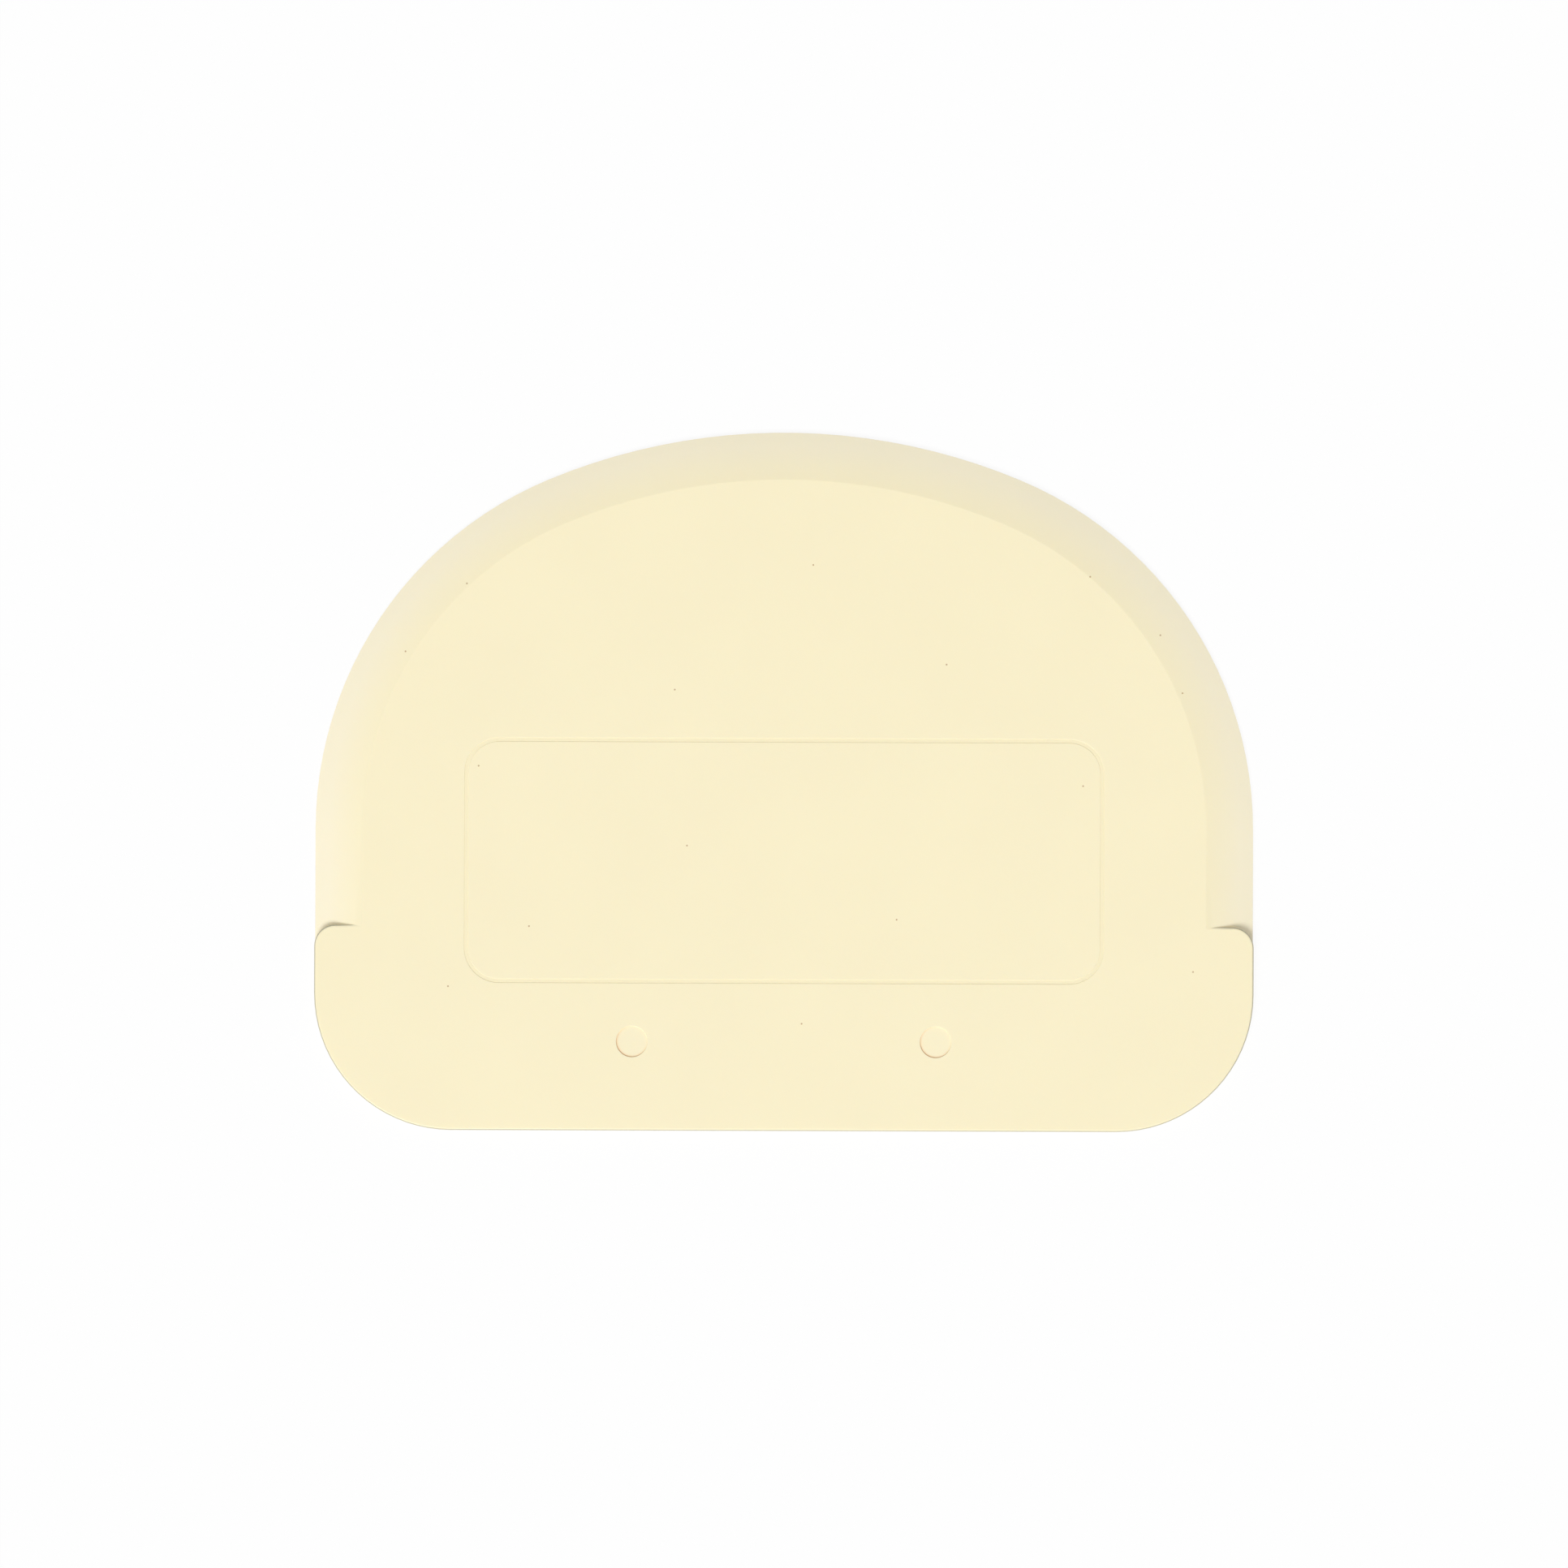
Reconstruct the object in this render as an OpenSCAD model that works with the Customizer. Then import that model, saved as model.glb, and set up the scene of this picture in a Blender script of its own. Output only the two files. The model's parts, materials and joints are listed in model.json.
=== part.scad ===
// Bowl scraper: one moulded plate with a straight back edge and an arched working edge.
// It lies flat with the bevelled side up. X runs along the width, +Y points from the
// straight edge to the crown of the arch, and Z is the thickness.
// The arch has three centres: a shallow crown between two tighter haunches. Along it the
// plate thins to a flexible lip, which stops at a stepped shoulder on each side.

/* [Outline] */
// Overall width, from side to side
blade_w = 120; // [100:1:150]
// Height of the straight sides, from the straight edge to the foot of the arch
side_h = 38.5; // [32:0.5:60]
// Radius of the two haunches, which lead from the sides into the crown
haunch_r = 48.5; // [35:0.5:58]
// Radius of the crown, the middle of the arch
crown_r = 78.4; // [66:0.2:120]
// Radius of the two corners beside the straight edge
corner_r = 17.5; // [6:0.5:22]

/* [Thickness and lip] */
// Thickness of the plate
body_t = 2.0; // [1.4:0.1:4]
// Thickness left at the rim of the lip
lip_t = 0.6; // [0.3:0.05:1.2]
// Width of the bevel, from the rim to the plate's full thickness
bevel_w = 6.1; // [3:0.1:9]
// Radius across the bevel, which is slightly crowned and steepest at the rim
bevel_r = 45; // [25:1:300]
// Radius of the softened top edge of the plate, where it isn't bevelled
edge_r = 0.3; // [0.1:0.05:0.6]

/* [Shoulders] */
// Height of the shoulders above the straight edge
shoulder_h = 26.2; // [22:0.2:36]
// Radius of the shoulder's outer corner, seen from above
shoulder_r = 2.7; // [1:0.1:5]

/* [Ejector marks] */
// Diameter of each round mark that an ejector pin leaves
mark_d = 4.0; // [2:0.1:8]
// Depth of each mark
mark_depth = 0.15; // [0.05:0.05:0.6]
// Distance between the centres of the two marks
mark_gap = 38.8; // [12:0.2:80]
// Height of the marks' centres above the straight edge
mark_h = 11.4; // [5:0.1:14]

/* [Insert line] */
// Width of the rounded rectangle that the mould's insert leaves, to the middle of its line
insert_w = 81.2; // [40:0.2:95]
// Height of that rectangle, to the middle of its line
insert_h = 30.8; // [12:0.2:38]
// Radius of the rectangle's corners, to the middle of its line
insert_r = 4.2; // [1:0.1:10]
// Height of the rectangle's centre above the straight edge
insert_mid_h = 34.5; // [31:0.5:45]
// Width of the fine groove
line_w = 0.5; // [0.2:0.05:1]
// Depth of the fine groove
line_depth = 0.06; // [0.02:0.01:0.3]

/* [Hidden] */
$fn = 180;
// How far a cutter runs past the face that it cuts, and one solid into its neighbour
over = 1;

// The foot of the arch is y = 0 while the blade is drawn
half_w = blade_w / 2;
haunch_x = half_w - haunch_r;
crown_drop = sqrt(pow(crown_r - haunch_r, 2) - pow(haunch_x, 2));
arch_h = crown_r - crown_drop;
edge_y = -side_h;
shoulder_y = edge_y + shoulder_h;

// Centre of the bevel's crowned face, inwards from the rim and up from the underside
bevel_drop = body_t - lip_t;
bevel_chord = norm([bevel_w, bevel_drop]);
bevel_reach = sqrt(pow(bevel_r, 2) - pow(bevel_chord / 2, 2));
bevel_in = bevel_w / 2 + bevel_reach * bevel_drop / bevel_chord;
bevel_up = (body_t + lip_t) / 2 - bevel_reach * bevel_w / bevel_chord;

// Cross-section square to the rim, from the centre of a bend, x = 0, to the rim
module lip_section(rim) {
    square([rim - bevel_w, body_t]);
    intersection() {
        translate([rim - bevel_w - over, 0]) square([bevel_w + over, body_t]);
        translate([rim - bevel_in, bevel_up]) circle(r = bevel_r);
    }
}

// The sector of the arch that belongs to the crown: its two sides run from the haunches'
// centres through the points where the arcs meet
module crown_sector() {
    // Whole multiples of the line between the centres, until it is past the crown
    reach = ceil(crown_r / crown_drop);
    far = [haunch_x * (1 + reach), crown_drop * reach];
    translate([0, 0, -over])
        linear_extrude(body_t + 2 * over)
            polygon([[-haunch_x, 0], [haunch_x, 0], far, [-far.x, far.y]]);
}

module crown() {
    intersection() {
        translate([0, -crown_drop, 0]) rotate_extrude(angle = 180) lip_section(crown_r);
        crown_sector();
    }
}

module haunches() {
    difference() {
        for (side = [-1, 1])
            translate([side * haunch_x, 0, 0]) rotate_extrude(angle = 180) lip_section(haunch_r);
        crown_sector();
    }
}

// The stretch between the foot of the arch and the shoulders, with a lip on both sides
module lipped_sides() {
    rotate([90, 0, 0])
        linear_extrude(-shoulder_y + shoulder_r)
            for (side = [0, 1])
                mirror([side, 0]) lip_section(half_w);
}

// What a round corner takes off a square one: everything outside the arc in one quadrant
module corner_waste(r) {
    difference() {
        square(r + over);
        circle(r = r);
    }
}

// Cross-section square to the edge of the full-thickness foot, its top corner softened
module foot_section(rim) {
    difference() {
        square([rim, body_t]);
        translate([rim - edge_r, body_t - edge_r]) corner_waste(edge_r);
    }
}

// A quarter turn of the foot's edge, for the corners and the shoulders of the right side
module foot_bend(r) {
    rotate_extrude(angle = 90) foot_section(r);
}

// The full-thickness foot of the plate, from the straight edge to the shoulders
module foot() {
    corner_x = half_w - corner_r;
    corner_y = edge_y + corner_r;
    bend_x = half_w - shoulder_r;
    bend_y = shoulder_y - shoulder_r;
    translate([0, bend_y, 0])
        rotate([90, 0, 0])
            linear_extrude(bend_y - corner_y)
                for (side = [0, 1])
                    mirror([side, 0]) foot_section(half_w);
    translate([corner_x, corner_y, 0])
        rotate([90, 0, -90]) linear_extrude(2 * corner_x) foot_section(corner_r);
    translate([-bend_x, bend_y, 0])
        rotate([90, 0, 90]) linear_extrude(2 * bend_x) foot_section(shoulder_r);
    for (side = [0, 1])
        mirror([side, 0, 0]) {
            translate([corner_x, corner_y, 0]) rotate(-90) foot_bend(corner_r);
            translate([bend_x, bend_y, 0]) foot_bend(shoulder_r);
        }
}

module rounded_rectangle(w, h, r) {
    difference() {
        square([w, h], center = true);
        for (i = [0, 1], j = [0, 1])
            mirror([i, 0]) mirror([0, j])
                translate([w / 2 - r, h / 2 - r]) corner_waste(r);
    }
}

module ejector_marks() {
    for (side = [-1, 1])
        translate([side * mark_gap / 2, edge_y + mark_h, body_t - mark_depth])
            cylinder(h = mark_depth + over, d = mark_d);
}

module insert_line() {
    translate([0, edge_y + insert_mid_h, body_t - line_depth])
        linear_extrude(line_depth + over)
            difference() {
                rounded_rectangle(insert_w + line_w, insert_h + line_w, insert_r + line_w / 2);
                rounded_rectangle(insert_w - line_w, insert_h - line_w, insert_r - line_w / 2);
            }
}

module scraper_blade() {
    color("#fbf1ce")
        translate([0, -(edge_y + arch_h) / 2, 0])
            difference() {
                union() {
                    crown();
                    haunches();
                    lipped_sides();
                    foot();
                }
                ejector_marks();
                insert_line();
            }
}

scraper_blade();
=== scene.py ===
import bpy
import bmesh
import json
import math
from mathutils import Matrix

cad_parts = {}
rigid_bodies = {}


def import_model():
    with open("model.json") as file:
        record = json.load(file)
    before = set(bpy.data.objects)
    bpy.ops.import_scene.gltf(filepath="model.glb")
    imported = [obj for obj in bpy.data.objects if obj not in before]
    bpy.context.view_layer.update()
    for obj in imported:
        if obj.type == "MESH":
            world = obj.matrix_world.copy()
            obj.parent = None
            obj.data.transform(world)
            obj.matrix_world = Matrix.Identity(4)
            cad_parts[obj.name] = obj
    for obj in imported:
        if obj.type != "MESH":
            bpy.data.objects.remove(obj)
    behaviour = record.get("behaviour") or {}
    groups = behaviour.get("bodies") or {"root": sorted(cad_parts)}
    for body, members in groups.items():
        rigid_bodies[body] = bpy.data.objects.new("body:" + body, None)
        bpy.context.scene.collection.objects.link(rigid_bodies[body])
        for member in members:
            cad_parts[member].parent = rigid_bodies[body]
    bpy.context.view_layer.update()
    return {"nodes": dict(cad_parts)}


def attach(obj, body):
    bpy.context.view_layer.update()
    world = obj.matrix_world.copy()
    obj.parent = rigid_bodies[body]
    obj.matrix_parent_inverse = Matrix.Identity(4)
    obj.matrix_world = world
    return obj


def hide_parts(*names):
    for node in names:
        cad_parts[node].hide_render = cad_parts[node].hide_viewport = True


for leftOver in list(bpy.data.objects):  # a start-up cube, lamp or camera
    bpy.data.objects.remove(leftOver)

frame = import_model()
mm = 0.001
print("stage: frame loaded")


def hexToLinear(code):  # "#rrggbb" as seen on screen, to the linear values that shaders want
    levels = [int(code[i:i + 2], 16) / 255 for i in (1, 3, 5)]
    linear = [v / 12.92 if v <= 0.04045 else ((v + 0.055) / 1.055) ** 2.4 for v in levels]
    return (*linear, 1.0)


def addNode(tree, kind, settings=None, links=None):  # a socket goes by its name or its number
    node = tree.nodes.new(kind)
    for name, value in (settings or {}).items():
        if isinstance(name, int) or name in node.inputs:
            node.inputs[name].default_value = value
        else:
            setattr(node, name, value)
    for name, source in (links or {}).items():
        tree.links.new(source, node.inputs[name])
    return node


def newMaterial(name):
    material = bpy.data.materials.new(name)
    material.use_nodes = True
    material.node_tree.nodes.clear()
    return material, material.node_tree


def addPiece(name, bm):
    mesh = bpy.data.meshes.new(name)
    bm.to_mesh(mesh)
    bm.free()
    piece = bpy.data.objects.new(name, mesh)
    bpy.context.scene.collection.objects.link(piece)
    return piece


# The blade: the plate's own mesh, merged and cleaned, with its moulded edges rounded. The mesh has
# very short edges beside the shoulders, so the clamp against overlaps cuts two roundings short
blade = {
    "thickness": 2.0 * mm,
    "mergeReach": 0.002 * mm,
    "flatAngle": 0.2,              # degrees, below which two triangles are one face
    "bevelLineAngles": (4, 25),    # degrees, where the lip's bevel meets the plateau
    "plateauSlack": 0.01 * mm,     # how far below the top an edge still lies on the plateau
    "bevelLineRound": 0.45 * mm,   # asked for: the clamp leaves 0.005 mm of it
    "bevelLineSteps": 3,
    "moulded": 50,                 # degrees, above which an edge is a rim, a wall or a recess
    "recessRound": 0.03 * mm,
    "recessSteps": 2,
    "rimRound": 0.16 * mm,         # asked for: the clamp leaves 0.001 mm of it
    "rimSteps": 4,
    "leastEdge": 0.0003 * mm,      # shorter edges, left where rounded edges meet, are closed up
    "smoothAngle": 40,             # degrees, up to which faces shade as one
    "faceWeight": 80,              # how much the large faces lead the shading
    "recessHalfWidth": 46 * mm,    # the recesses all lie within this and the next two
    "recessLow": -37 * mm,
    "recessHigh": 8 * mm,
    "grooveFloor": 1.9 * mm,       # the insert's fine groove lies between these heights
    "grooveRim": 1.99 * mm,
    # the rim's painted shade lies where the normals have this height
    "rimSlopes": (0.25, 0.9),      # height of the normals along the foot's rounded top rim
}


def edgeAngle(edge):
    return math.degrees(edge.calc_face_angle(0))


def amongRecesses(place):
    return abs(place.x) < blade["recessHalfWidth"] and blade["recessLow"] < place.y < blade["recessHigh"]


def inRecess(edge):
    middle = (edge.verts[0].co + edge.verts[1].co) / 2
    return middle.z > blade["thickness"] / 2 and amongRecesses(middle)


def mouldedEdges(bm, recessed):
    return [e for e in bm.edges if edgeAngle(e) > blade["moulded"] and inRecess(e) == recessed]


def bevelLine(bm):
    low, high = blade["bevelLineAngles"]
    top = blade["thickness"] - blade["plateauSlack"]
    return [e for e in bm.edges if low < edgeAngle(e) < high and min(v.co.z for v in e.verts) > top]


def roundEdges(bm, edges, size, steps):
    bmesh.ops.bevel(bm, geom=edges, offset=size, offset_type="OFFSET", segments=steps, profile=0.5,
                    affect="EDGES", clamp_overlap=True, material=-1)


# Both masks carry painted shade: a darker tone painted in the insert's fine groove, and a grey one painted
# along the foot's rounded top rim and walls
def markTints(bm):  # the plastic reads these two: the fine groove, and the foot's top rim
    groove = bm.verts.layers.float.new("groove")
    rim = bm.verts.layers.float.new("rim")
    steep, flat = blade["rimSlopes"]
    bm.normal_update()
    for v in bm.verts:
        v.co.z = min(v.co.z, blade["thickness"])
        recessed = amongRecesses(v.co)
        v[groove] = float(recessed and blade["grooveFloor"] < v.co.z < blade["grooveRim"])
        v[rim] = float(not recessed and steep < v.normal.z < flat)


def makeBlade():
    bm = bmesh.new()
    bm.from_mesh(frame["nodes"]["scraper_blade"].data)
    bmesh.ops.remove_doubles(bm, verts=bm.verts, dist=blade["mergeReach"])
    bmesh.ops.dissolve_limit(bm, angle_limit=math.radians(blade["flatAngle"]), verts=bm.verts, edges=bm.edges)
    roundEdges(bm, bevelLine(bm), blade["bevelLineRound"], blade["bevelLineSteps"])
    roundEdges(bm, mouldedEdges(bm, True), blade["recessRound"], blade["recessSteps"])
    roundEdges(bm, mouldedEdges(bm, False), blade["rimRound"], blade["rimSteps"])
    bmesh.ops.dissolve_degenerate(bm, dist=blade["leastEdge"], edges=bm.edges)
    bmesh.ops.recalc_face_normals(bm, faces=bm.faces)
    markTints(bm)
    piece = addPiece("bladeSkin", bm)
    piece.data.shade_smooth()
    piece.data.set_sharp_from_angle(angle=math.radians(blade["smoothAngle"]))
    weighted = piece.modifiers.new("weighted", "WEIGHTED_NORMAL")
    weighted.keep_sharp = True
    weighted.weight = blade["faceWeight"]
    print("stage: blade", len(piece.data.polygons), "faces")
    return piece


# Polypropylene, injection moulded and satin: the mould leaves a faint soft grain. The thin lip is painted
# paler than the body, partly for the white of the bench showing through it and partly as a painted reflection
# on the bevel
plastic = {
    "bodyColour": "#fbf0cb",
    # painted paler: the bench's white through the thin lip, and a painted reflection
    "lipColourAndSheen": "#fcf2d5",
    "paleFrom": 1.98 * mm,         # thickness at which the paler tone sets in
    "paleTo": 1.1 * mm,            # and at which it is full
    "cloudSize": 14 * mm,
    "cloudDetail": 3.0,
    "cloudSpan": (0.3, 0.7),
    "cloudShade": 0.985,           # brightness where the clouding is darkest
    # painted shade: the fine groove is tinted darker, standing for the shade that lies in it
    "grooveColour": "#f8edc7",
    # painted shade: a grey painted along the rounded rims and walls, standing for their shade
    "rimColour": "#c3bda3",
    # painted shade: a warm darker tone painted on the ejector marks' walls
    "markColour": "#f2c795",
    "markPlace": (19.4 * mm, -33.25 * mm),
    "markRadius": 2.0 * mm,
    "markShade": 0.5 * mm,         # how far the warm shade of a mark's wall reaches over its floor
    "markFade": 3,
    "markFarSide": -1.4,           # in radii, where the shade is full
    "markLeast": 0.05,             # share of the shade on the side towards the light
    "speckColour": "#cbb189",
    "speckSpacing": 24 * mm,
    "speckSize": 0.0048,           # share of the spacing
    "grainSize": 0.35 * mm,
    "grainDetail": 2.0,
    "grainHeight": 0.003 * mm,
    "grainStrength": 0.6,
    "ior": 1.49,
    "roughness": 0.42,
    "scatter": 0.12,
    "scatterDepth": 1.2 * mm,
    "scatterReach": (1.0, 0.8, 0.5),
}


# Painted warm shade, not the marks' own colour: the walls are tinted warm and darker, most at the lower left
def markShade(tree, place):  # light glows through the ejector marks' walls, most at the lower left
    axes = addNode(tree, "ShaderNodeSeparateXYZ", None, {"Vector": place}).outputs
    markX, markY = plastic["markPlace"]
    radius = plastic["markRadius"]
    side = addNode(tree, "ShaderNodeMath", {"operation": "SIGN"}, {0: axes["X"]}).outputs[0]
    right = addNode(tree, "ShaderNodeMath", {"operation": "MULTIPLY_ADD", 1: -markX},
                    {0: side, 2: axes["X"]}).outputs[0]
    up = addNode(tree, "ShaderNodeMath", {"operation": "SUBTRACT", 1: markY}, {0: axes["Y"]}).outputs[0]
    fromMark = addNode(tree, "ShaderNodeCombineXYZ", None, {"X": right, "Y": up}).outputs[0]
    away = addNode(tree, "ShaderNodeVectorMath", {"operation": "LENGTH"}, {0: fromMark}).outputs["Value"]
    ring = addNode(tree, "ShaderNodeMapRange",
                   {"From Min": radius - plastic["markShade"], "From Max": radius},
                   {"Value": away}).outputs["Result"]
    ring = addNode(tree, "ShaderNodeMath", {"operation": "POWER", 1: plastic["markFade"]},
                   {0: ring}).outputs[0]
    inside = addNode(tree, "ShaderNodeMath", {"operation": "LESS_THAN", 1: radius}, {0: away}).outputs[0]
    upperRight = addNode(tree, "ShaderNodeMath", {"operation": "ADD"}, {0: right, 1: up}).outputs[0]
    lowerLeft = addNode(tree, "ShaderNodeMapRange",
                        {"From Min": radius, "From Max": plastic["markFarSide"] * radius,
                         "To Min": plastic["markLeast"]}, {"Value": upperRight}).outputs["Result"]
    ring = addNode(tree, "ShaderNodeMath", {"operation": "MULTIPLY"}, {0: ring, 1: inside}).outputs[0]
    return addNode(tree, "ShaderNodeMath", {"operation": "MULTIPLY"}, {0: ring, 1: lowerLeft}).outputs[0]


def satinPolypropylene():
    material, tree = newMaterial("satinPolypropylene")
    place = addNode(tree, "ShaderNodeTexCoord").outputs["Object"]
    height = addNode(tree, "ShaderNodeSeparateXYZ", None, {"Vector": place}).outputs["Z"]
    thinness = addNode(tree, "ShaderNodeMapRange", {"From Min": plastic["paleFrom"],
                       "From Max": plastic["paleTo"]}, {"Value": height}).outputs["Result"]
    colour = addNode(tree, "ShaderNodeMix",
                     {"data_type": "RGBA", 6: hexToLinear(plastic["bodyColour"]),
                      7: hexToLinear(plastic["lipColourAndSheen"])}, {"Factor": thinness}).outputs[2]

    cloud = addNode(tree, "ShaderNodeTexNoise",
                    {"Scale": 1 / plastic["cloudSize"], "Detail": plastic["cloudDetail"]},
                    {"Vector": place}).outputs["Fac"]
    low, high = plastic["cloudSpan"]
    cloudShade = addNode(tree, "ShaderNodeMapRange",
                         {"From Min": low, "From Max": high, "To Min": plastic["cloudShade"]},
                         {"Value": cloud}).outputs["Result"]
    colour = addNode(tree, "ShaderNodeHueSaturation", None,
                     {"Value": cloudShade, "Color": colour}).outputs["Color"]

    specks = addNode(tree, "ShaderNodeTexVoronoi",
                     {"voronoi_dimensions": "2D", "Scale": 1 / plastic["speckSpacing"]}, {"Vector": place})
    # The groove and rim tints are painted shade and the mark tint is a painted warm shade. The specks are the
    # plastic's own flecks
    tints = {  # where each tint reaches, in the order that they lie on each other
        "groove": addNode(tree, "ShaderNodeAttribute", {"attribute_name": "groove"}).outputs["Fac"],
        "rim": addNode(tree, "ShaderNodeAttribute", {"attribute_name": "rim"}).outputs["Fac"],
        "mark": markShade(tree, place),
        "speck": addNode(tree, "ShaderNodeMath", {"operation": "LESS_THAN", 1: plastic["speckSize"]},
                         {0: specks.outputs["Distance"]}).outputs[0],
    }
    for tint, reach in tints.items():
        colour = addNode(tree, "ShaderNodeMix",
                         {"data_type": "RGBA", 7: hexToLinear(plastic[tint + "Colour"])},
                         {"Factor": reach, 6: colour}).outputs[2]

    grain = addNode(tree, "ShaderNodeTexNoise",
                    {"Scale": 1 / plastic["grainSize"], "Detail": plastic["grainDetail"]},
                    {"Vector": place}).outputs["Fac"]
    bump = addNode(tree, "ShaderNodeBump",
                   {"Distance": plastic["grainHeight"], "Strength": plastic["grainStrength"]},
                   {"Height": grain}).outputs["Normal"]
    shader = addNode(tree, "ShaderNodeBsdfPrincipled",
                     {"IOR": plastic["ior"], "Roughness": plastic["roughness"],
                      "Subsurface Weight": plastic["scatter"], "Subsurface Scale": plastic["scatterDepth"],
                      "Subsurface Radius": plastic["scatterReach"]},
                     {"Base Color": colour, "Normal": bump})
    addNode(tree, "ShaderNodeOutputMaterial", None, {"Surface": shader.outputs["BSDF"]})
    return material


bladePiece = makeBlade()
bladePiece.data.materials.append(satinPolypropylene())
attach(bladePiece, "root")
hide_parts("scraper_blade")
print("stage: plastic")


# The bench: white to the camera, and it still takes the blade's shadow
bench = {
    "size": 4.0,
    "colour": "#f7f7f7",
    "glow": 0.9,                   # share of the camera's view that is plain white
}


def seenDirectly(tree):  # 1 for the camera, reflections and what shows through
    path = addNode(tree, "ShaderNodeLightPath").outputs
    seen = addNode(tree, "ShaderNodeMath", {"operation": "MAXIMUM"},
                   {0: path["Is Camera Ray"], 1: path["Is Glossy Ray"]}).outputs[0]
    return addNode(tree, "ShaderNodeMath", {"operation": "MAXIMUM"},
                   {0: seen, 1: path["Is Transmission Ray"]}).outputs[0]


def makeBench():
    bm = bmesh.new()
    bmesh.ops.create_grid(bm, x_segments=1, y_segments=1, size=bench["size"] / 2)
    piece = addPiece("bench", bm)
    material, tree = newMaterial("whitePaintedBench")
    paint = addNode(tree, "ShaderNodeBsdfDiffuse", {"Color": hexToLinear(bench["colour"])}).outputs[0]
    white = addNode(tree, "ShaderNodeEmission", {"Strength": 1.0}).outputs[0]
    share = addNode(tree, "ShaderNodeMath", {"operation": "MULTIPLY", 1: bench["glow"]},
                    {0: seenDirectly(tree)}).outputs[0]
    blend = addNode(tree, "ShaderNodeMixShader", None, {"Fac": share, 1: paint, 2: white}).outputs[0]
    addNode(tree, "ShaderNodeOutputMaterial", None, {"Surface": blend})
    piece.data.materials.append(material)


# The light: an even sky, and a soft key from the lower left. Together they light the plateau by about 1
studio = {
    "skyLevel": 0.485,
    "keyLevel": 0.5,
    "keyTilt": 38,                 # degrees from straight down
    "keyTurn": 23,                 # degrees from the straight edge's side towards the left
    "keySoftness": 30,             # degrees
}


def makeLight():
    world = bpy.data.worlds.new("studio")
    world.use_nodes = True
    tree = world.node_tree
    tree.nodes.clear()
    level = addNode(tree, "ShaderNodeMapRange", {"To Min": studio["skyLevel"]},
                    {"Value": seenDirectly(tree)}).outputs["Result"]
    sky = addNode(tree, "ShaderNodeBackground", {"Color": (1, 1, 1, 1)}, {"Strength": level}).outputs[0]
    addNode(tree, "ShaderNodeOutputWorld", None, {"Surface": sky})
    bpy.context.scene.world = world
    key = bpy.data.lights.new("key", "SUN")
    key.energy = studio["keyLevel"] * math.pi / math.cos(math.radians(studio["keyTilt"]))
    key.angle = math.radians(studio["keySoftness"])
    lamp = bpy.data.objects.new("key", key)
    lamp.rotation_euler = (math.radians(studio["keyTilt"]), 0, math.radians(-studio["keyTurn"]))
    bpy.context.scene.collection.objects.link(lamp)


# The camera looks straight down, as the photograph does
view = {
    "width": 200.2 * mm,           # of the blade's level that the picture takes in
    "centre": (-0.06 * mm, -0.32 * mm),
    "lens": 100,
    "turn": 0.0032,                # radians, the blade lies turned by this in the picture
    "nearest": 0.01,               # share of the distance at which the view starts
}


def makeCamera():
    lens = bpy.data.cameras.new("camera")
    lens.lens = view["lens"]
    distance = view["width"] * view["lens"] / lens.sensor_width
    lens.clip_start = distance * view["nearest"]
    camera = bpy.data.objects.new("camera", lens)
    camera.location = (*view["centre"], blade["thickness"] + distance)
    camera.rotation_euler = (0, 0, view["turn"])
    bpy.context.scene.collection.objects.link(camera)
    bpy.context.scene.camera = camera


makeBench()
makeLight()
makeCamera()
bpy.context.scene.view_settings.view_transform = "Standard"
print("stage: bench, light and camera")
